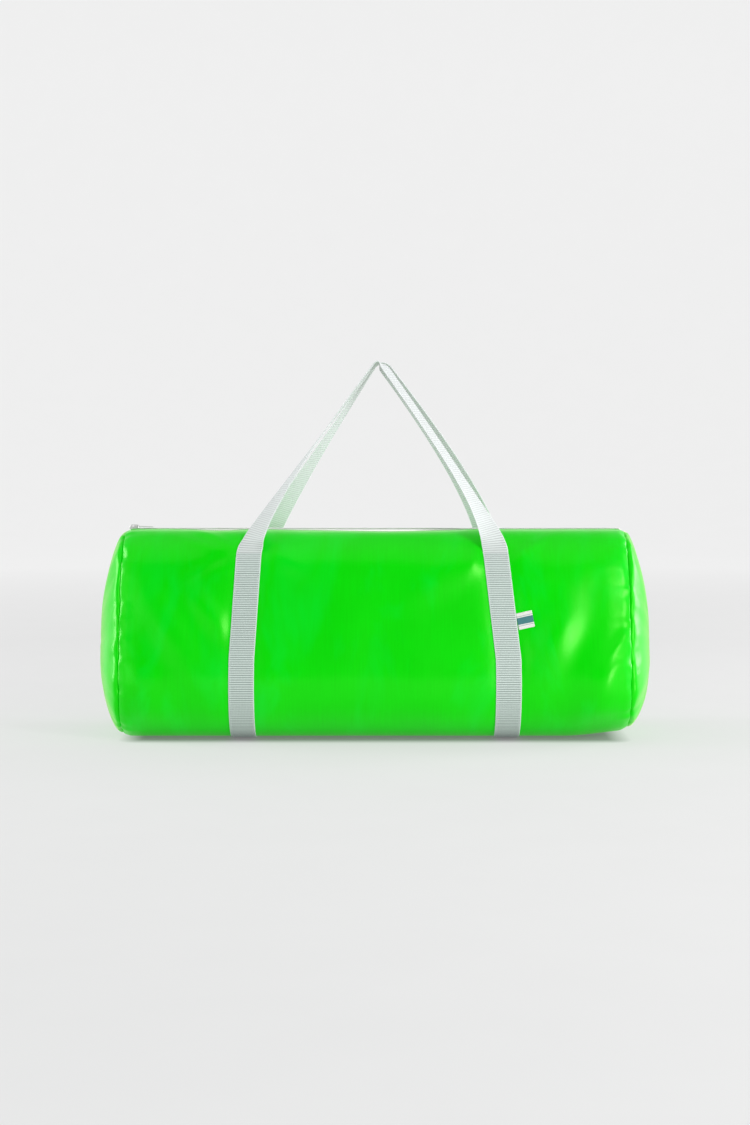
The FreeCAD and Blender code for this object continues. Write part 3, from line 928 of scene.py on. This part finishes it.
def strap_piece(side):
    s, centre, normal = strap_line(side)
    width = np.zeros_like(centre)
    width[:, 0] = WEB_HALF
    name = SIDE_NAME[side]
    v = (s - FOLD_S) / STRAP_RUN * STRAP_RIBS
    obj = ribbon("webbing_strap_" + name, centre, width, normal, v)
    return finish_piece(obj, WEBBING, "webbing", "bag", "strap_" + name)


APEX = np.array([0.006, -0.0194, 0.573])
APEX_BEND = 0.016
PEAK_TILT, CONTROL_TILT = math.radians(22), math.radians(20)
# control point's outward shift and rise, turning length, evenness and final turn of each leg
LEGS = {
    (LEFT, FRONT): (0.024, 0.042, 0.085, 0.65, 1.0),
    (RIGHT, FRONT): (0.027, 0.046, 0.050, 1.13, 0.70),
    (LEFT, BACK): (0.007, 0.067, 0.164, 0.73, 1.0),
    (RIGHT, BACK): (0.036, 0.080, 0.200, 0.60, 0.80),
}


def bezier(a, b, c, t):
    t = np.asarray(t)[:, None]
    point = a * (1 - t) ** 2 + b * (2 * t * (1 - t)) + c * t**2
    return point, unit((b - a) * (1 - t) + (c - b) * t)


def handle_leg(side, face, count):
    """Stations of one leg, worked out as the front handle: centre, half width, gone."""
    out, rise, length, power, most = LEGS[side, face]
    foot = np.array([side * (STRAP_X - STRAP_LEAN[side, face]), -HINGE_Y, HINGE_Z])
    share = rise / (APEX[2] - HINGE_Z)
    control = np.array(
        [
            foot[0] + (APEX[0] - foot[0]) * share + side * out,
            -HINGE_Y + rise * math.tan(CONTROL_TILT),
            HINGE_Z + rise,
        ]
    )
    top = APEX + unit(control - APEX) * APEX_BEND
    point, tangent = bezier(foot, control, top, np.linspace(0, 1, count))
    gone = np.linalg.norm(point - foot, axis=1)
    lean = np.array([0, -math.cos(PEAK_TILT), math.sin(PEAK_TILT)])
    turned = most * (1 - np.exp(-((gone / length) ** power))) * smooth((gone + 2 * MM) / 0.024)
    square = np.minimum(gone / 0.030, 1)
    x = np.array([1.0, 0, 0]) * -side
    tangent = tangent * -side
    flat = x[None] - tangent * (tangent @ x * square)[:, None]
    edge = lean[None] - tangent * (tangent @ lean)[:, None]
    angle = turned * math.pi / 2
    width = unit(unit(flat) * np.cos(angle)[:, None] + unit(edge) * np.sin(angle)[:, None])
    return point, tangent, width, gone


def handle_line(face):
    count = 90 * RIB_STEPS // 4
    legs = {side: handle_leg(side, face, count) for side in (LEFT, RIGHT)}
    left, right = legs[LEFT], tuple(a[::-1] for a in legs[RIGHT])
    t = np.linspace(0, 1, 14)[1:-1]
    bend, bend_tangent = bezier(left[0][-1], APEX, right[0][0], t)
    bend_width = left[2][-1] * (1 - t)[:, None] + right[2][0] * t[:, None]
    along = np.sum(bend_width * bend_tangent, 1, keepdims=True)
    bend_width = unit(bend_width - bend_tangent * along)
    centre = np.concatenate([left[0], bend, right[0]])
    width = np.concatenate([left[2], bend_width, right[2]])
    tangent = np.concatenate([left[1], bend_tangent, right[1]])
    length = run_length(centre)
    ribs = round(length[-1] / RIB)
    fine = np.linspace(0, length[-1], ribs * RIB_STEPS + 1)
    centre, width, tangent = (resample(rows, length, fine) for rows in (centre, width, tangent))
    width, tangent = unit(width), unit(tangent)
    normal = unit(np.cross(width, tangent))
    if normal[0, 1] > 0:
        normal = -normal
    # each end lies on the cloth in line with its strap, and eases onto the free run
    yz, n = section(np.array([FOLD_S]))
    shift = yz[0] + n[0] * (WEB / 2 + LIFT) - np.array([-HINGE_Y, HINGE_Z])
    for end in (0, -1):
        gone = np.linalg.norm(centre - centre[end], axis=1)
        centre[:, 1:] += shift * (1 - smooth(gone / 0.03))[:, None]
    if face == BACK:
        for a in (centre, width, normal):
            a[:, 1] *= -1
    return centre, width * WEB_HALF, normal, fine / length[-1] * ribs


def handle_piece(face):
    name = FACE_NAME[face]
    obj = ribbon("webbing_handle_" + name, *handle_line(face))
    finish_piece(obj, HANDLE_WEBBING, "webbing", None, "handle_" + name)
    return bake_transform(obj)


# ---------------- thread
STITCH, STITCH_PITCH, THREAD_R = 2.5 * MM, 3.3 * MM, 0.23 * MM
# share of the length, height and size of each ring of a stitch, in radii
STITCH_RINGS = ((0, -0.9, 0.5), (0.2, 0.2, 1), (0.5, 0.5, 1), (0.8, 0.2, 1), (1, -0.9, 0.5))
STITCH_SIDES = 6


def stitches(a, b, up, radius):
    """Points of raised stitches from each a to each b, their ends sunk into the cloth."""
    ring = circles(unit(np.cross(up, unit(b - a))), up, STITCH_SIDES)
    rows = []
    for share, height, size in STITCH_RINGS:
        centre = a + (b - a) * share + up * height * radius
        rows.append(centre[:, None] + ring * radius * size)
    return np.stack(rows, 1).reshape(len(a), -1, 3)


def stitch_row(points, up):
    """Stitches along a polyline."""
    gone = run_length(points)
    starts = np.arange(STITCH_PITCH * 0.3, gone[-1] - STITCH, STITCH_PITCH)
    a, b = (resample(points, gone, places) for places in (starts, starts + STITCH))
    return stitches(a, b, unit(resample(up, gone, starts + STITCH / 2)), THREAD_R)


def thread_piece(name, groups, material, *nodes):
    """One piece from groups of stitches."""
    points = np.concatenate(groups)
    one = tube_faces(len(STITCH_RINGS), STITCH_SIDES)
    count = points.shape[1]
    faces = [tuple(i + k * count for i in f) for k in range(len(points)) for f in one]
    obj = mesh_object(name, points.reshape(-1, 3), faces)
    return finish_piece(obj, material, "thread", "bag", *nodes)


def zip_stitching(face):
    """Two rows of green topstitching along the zip."""
    groups = []
    x = np.linspace(-HALF_LENGTH + 6 * MM, HALF_LENGTH - 6 * MM, 260)
    for inset in (2.2 * MM, 7.5 * MM):
        p, n = at(x, np.full(len(x), -face * (MOUTH_HALF + inset)))
        groups.append(stitch_row(p + n * 0.05 * MM, n))
    return thread_piece("zip_topstitch_" + FACE_NAME[face], groups, GREEN_THREAD)


def strap_stitching(side):
    """White edge stitching that holds a strap to the bag."""
    groups = []
    _, centre, normal = strap_line(side)
    for edge in (-1, 1):
        line = centre + normal * (WEB / 2 - 0.12 * MM)
        line[:, 0] += edge * (WEB_HALF - 3.2 * MM)
        low = centre[:, 2] < WEB
        line[low, 2] = np.maximum(line[low, 2], 0.1 * MM)
        groups.append(stitch_row(line[8:-8:2], normal[8:-8:2]))
    return thread_piece("strap_stitching_" + SIDE_NAME[side], groups, WHITE_THREAD)


def bartack_piece():
    """Dense zigzag bars across the sewn ends of the straps."""
    groups = []
    bar = np.zeros((44, 3))
    bar[:, 0] = np.linspace(-WEB_HALF + 2.5 * MM, WEB_HALF - 2.5 * MM, len(bar))
    for side in (LEFT, RIGHT):
        _, centre, normal = strap_line(side)
        for way in (1, -1):
            c, n = centre[::way], normal[::way]
            top = c + n * (WEB / 2 - 0.05 * MM)
            for down in (3.5 * MM, 34 * MM):
                i, k = np.searchsorted(run_length(c), [down, down + 2.6 * MM])
                a, b = top[i] + bar, top[k] + bar + (0.35 * MM, 0, 0)
                groups.append(stitches(a, b, np.tile(n[i], (len(bar), 1)), 0.18 * MM))
    return thread_piece("strap_bartack_thread", groups, WHITE_THREAD, "strap_bartacks")


# ---------------- zip
def tape_piece(face):
    """Woven tape from the coil to under the hem, following the lip."""
    xs = np.linspace(-ZIP_HALF, ZIP_HALF, 180)
    y_line = np.array([0.9, 1.4, 4.4, 5.5, 6.6, 8.5, 11.5, 13.0, 15.0, 17.0]) * MM
    rows = []
    for y in y_line:
        under, n = at(xs, np.full(len(xs), -face * max(y, MOUTH_HALF)))
        low = under - n * 1.75 * MM
        share = float(smooth((y - 6.6 * MM) / (6 * MM)))  # flat as far as the slider reaches
        z = (TAPE_TOP - 0.05 * MM) * (1 - share) + low[:, 2] * share
        rows.append(np.column_stack([xs, np.full(len(xs), face * y), z]))
    top = np.stack(rows, 1)
    bottom = top.copy()
    bottom[..., 2] -= 0.6 * MM
    loop = np.concatenate([top, bottom[:, ::-1]], 1)
    faces = tube_faces(len(xs), loop.shape[1])
    name = FACE_NAME[face]
    obj = mesh_object("zip_tape_cloth_" + name, loop.reshape(-1, 3), faces)
    fix_normals(obj)
    return finish_piece(obj, TAPE, "zip_tape", "bag", "zip_tape_" + name)


def round_wire(points, radius, sides):
    """Round tube along a line of points."""
    tangent = unit(np.gradient(points, axis=0))
    side = unit(np.cross(tangent, np.array([0.02, 0.03, 1.0])))
    up = np.cross(side, tangent)
    p = points[:, None] + circles(side, up, sides) * radius
    return p.reshape(-1, 3), tube_faces(len(points), sides)


TOOTH_PITCH, COIL_WIRE = 1.5 * MM, 0.33 * MM


def coil_piece(face):
    """Spiral of monofilament: the teeth of one row, meshed with the other row."""
    low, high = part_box("zip_coil_back")
    steps = 10
    turns = int((high[0] - low[0]) / TOOTH_PITCH) - 1
    t = np.arange(turns * steps + 1) / steps
    shift = 0.25 if face == FRONT else 0.75
    x = low[0] + (t + shift) * TOOTH_PITCH
    inner, outer = -0.15 * MM, high[1]
    angle = 2 * math.pi * t
    y = (inner + outer) / 2 - (outer - inner - 2 * COIL_WIRE) / 2 * np.cos(angle)
    z = (low[2] + high[2]) / 2 + (high[2] - low[2] - 2 * COIL_WIRE) / 2 * np.sin(angle)
    points, faces = round_wire(np.column_stack([x, face * y, z]), COIL_WIRE, 6)
    name = FACE_NAME[face]
    obj = mesh_object("zip_teeth_" + name, points, faces)
    fix_normals(obj)
    return finish_piece(obj, COIL, "zip_coil", "bag", "zip_coil_" + name)


# ---------------- label
def label_piece():
    """Woven label folded double, its ends under the strap and its fold a little lifted."""
    centre = np.mean(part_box("side_label"), axis=0)
    tilt = math.radians(10)
    slope = np.array([0, math.sin(SIDE_LEAN), math.cos(SIDE_LEAN)])
    out = np.array([math.cos(tilt), 0, 0]) + math.sin(tilt) * slope
    up = np.array([-math.sin(tilt), 0, 0]) + math.cos(tilt) * slope
    normal = np.array([0, -math.cos(SIDE_LEAN), math.sin(SIDE_LEAN)])
    long, tall = 21 * MM, 25 * MM
    turn = np.linspace(0, math.pi, 9)[1:-1]
    r = 0.42 * MM
    run = np.linspace(-0.12, 1, 18)
    back = np.column_stack([run * (long - r), np.full(len(run), -r)])
    bend = np.column_stack([(long - r) + r * np.sin(turn), -r * np.cos(turn)])
    path = np.concatenate([back, bend, back[::-1] * (1, -1)])
    v = np.linspace(-0.5, 0.5, 22)
    far = path[:, 0] / long
    lift = (1.6 * far**2)[:, None] * (0.55 + 0.9 * (v[None] + 0.1) ** 2 + 0.5 * v[None]) * MM
    place = centre + out * (path[:, 0] - long / 2)[:, None, None]
    place = place + up * (v * tall)[None, :, None]
    down = SECTION_ENDS[1] + (SIDE_HEAD[1] - place[..., 2]) / side_up[1]
    plain, _ = section(down)
    swell = (at(place[..., 0], down)[0][..., 1:] - plain) @ normal[1:]
    height = path[:, 1][:, None] + lift + np.maximum(swell, 0)
    grid = place + normal * height[..., None]
    u = np.clip(path[:, 0] / long, 0, 1)
    uv = grid_uv(u[:, None], (v + 0.5)[None])
    rows, cols = grid.shape[:2]
    obj = mesh_object("brandless_label", grid.reshape(-1, 3), grid_faces(rows, cols), uv)
    thick = obj.modifiers.new("Thickness", "SOLIDIFY")
    thick.thickness, thick.offset = 0.34 * MM, 0
    bake_modifiers(obj)
    finish_piece(obj, LABEL, "label", "bag", "side_label")


# ---------------- the bag
def build():
    body = body_piece()
    straps = [strap_piece(side) for side in (LEFT, RIGHT)]
    for side in (LEFT, RIGHT):
        end = end_piece(side)
        binding_piece(side)
        strap_stitching(side)
    bartack_piece()
    for face in (FRONT, BACK):
        handle_piece(face)
        tape_piece(face)
        coil_piece(face)
        zip_stitching(face)
    label_piece()
    for node in ("zip_slider", "slider_bridge", "zip_pull"):
        obj = frame["nodes"][node]
        obj.data.materials.clear()
        obj.data.materials.append(METAL)


build()


# ---------------- studio
FLOOR_GLOW, WALL_GLOW = 0.54, 0.69


def stage_paper():
    """Pale paper, evenly lit from behind, but for a painted shadow right under the bag."""
    n = Nodes("backdrop_paper")
    grain = n.noise((9, 9, 9), 3.0, source="Object")
    n.surface(Base_Color=n.mix(grain, (0.215, 0.215, 0.215, 1), (0.23, 0.23, 0.23, 1)))
    n.surface(Roughness=0.9, Specular_IOR_Level=0.15)
    x, y = (n.math("ABSOLUTE", out) for out in n.split(n.coord("Object"))[:2])
    beside = [
        n.math("MAXIMUM", n.math("SUBTRACT", value, half), 0.0)
        for value, half in ((x, HALF_LENGTH - 0.03), (y, HALF_DEPTH - 0.045))
    ]
    away = n.math("SQRT", n.plus(*(n.times(d, d) for d in beside)))
    # Painted shadow: the glow drops to a quarter over the bag's footprint and comes back within
    # 35 mm of it.
    shade = n.span(away, 0.0, 0.035, 0.25, 1.0)
    far = n.math("SQRT", n.plus(n.times(x, x), n.times(y, y)))
    level = n.times(shade, n.span(far, 1.6, 4.2, FLOOR_GLOW, WALL_GLOW))
    n.surface(Emission_Color=n.mix(level, (0, 0, 0, 1), (1, 1, 1, 1)), Emission_Strength=1.0)
    return n.material


def backdrop():
    """Round cove: a flat floor that curves up into a wall all round."""
    floor_r, curve_r, wall_h = 4.6, 2.2, 1.4
    profile = [(0.0, 0.0), (1.0, 0.0), (2.5, 0.0), (floor_r, 0.0)]
    for k in range(1, 17):
        a = k / 16 * math.pi / 2
        profile.append((floor_r + curve_r * math.sin(a), curve_r * (1 - math.cos(a))))
    profile.append((floor_r + curve_r, curve_r + wall_h))
    sides = 96
    points, rings, faces = [(0, 0, 0)], [[0]], []
    for r, z in profile[1:]:
        rings.append(list(range(len(points), len(points) + sides)))
        for k in range(sides):
            a = 2 * math.pi * k / sides
            points.append((r * math.cos(a), r * math.sin(a), z))
        faces += ring_faces(*rings[:-3:-1])
    obj = mesh_object("backdrop", points, faces)
    obj.data.materials.append(stage_paper())


def area_light(name, place, target, size, power, colour=(1, 1, 1)):
    data = bpy.data.lights.new(name, "AREA")
    data.shape, data.size, data.size_y = "RECTANGLE", *size
    data.energy, data.color = power, colour
    obj = new_object(name, data)
    obj.location = place
    obj.rotation_euler = (Vector(target) - Vector(place)).to_track_quat("-Z", "Y").to_euler()
    obj.visible_camera = False
    return obj


def lights():
    world = bpy.data.worlds.new("studio")
    world.use_nodes = True
    sky = world.node_tree.nodes["Background"]
    sky.inputs["Color"].default_value = (1, 1, 1, 1)
    sky.inputs["Strength"].default_value = 0.5
    bpy.context.scene.world = world
    middle = (0, 0, 0.2)
    area_light("key", (-0.3, -1.0, 3.6), middle, (4.2, 3.2), 18)
    area_light("right_box", (2.1, -2.3, 0.88), (0.25, 0, 0.15), (0.6, 1.7), 72)
    area_light("right_end", (2.6, 0.9, 0.9), (0.4, 0, 0.12), (1.0, 1.4), 42)
    area_light("left_end", (-2.9, 0.25, 1.0), (-0.4, 0, 0.12), (1.0, 1.5), 52)
    area_light("left_fill", (-2.2, -2.3, 0.9), (-0.25, 0, 0.15), (0.5, 1.4), 7, (0.7, 1, 0.9))


def dark_flag():
    """A black panel high behind the camera's side, which keeps the gloss off the front."""
    corners = [(-2.6, -4.2, 1.5), (2.6, -4.2, 1.5), (2.6, -4.0, 4.8), (-2.6, -4.0, 4.8)]
    obj = mesh_object("dark_flag", corners, [(0, 1, 2, 3)], flat=True)
    n = Nodes("flag_black")
    nap = n.noise((60, 60, 60), source="Object")
    n.surface(Base_Color=n.mix(nap, (0.01, 0.01, 0.01, 1), (0.02, 0.02, 0.02, 1)))
    n.surface(Roughness=1.0)
    obj.data.materials.append(n.material)
    obj.visible_camera = False


def camera():
    """Standing camera a little above the bag, looking slightly down."""
    data = bpy.data.cameras.new("camera")
    data.sensor_fit, data.sensor_width = "AUTO", 36
    data.lens = 65.3
    obj = new_object("camera", data)
    obj.location = (0, -3.142, 0.45)
    obj.rotation_euler = (math.radians(90 - 3.44), 0, 0)
    bpy.context.scene.camera = obj


backdrop()
dark_flag()
lights()
camera()
scene = bpy.context.scene
scene.view_settings.view_transform = "Standard"
scene.view_settings.look = "None"
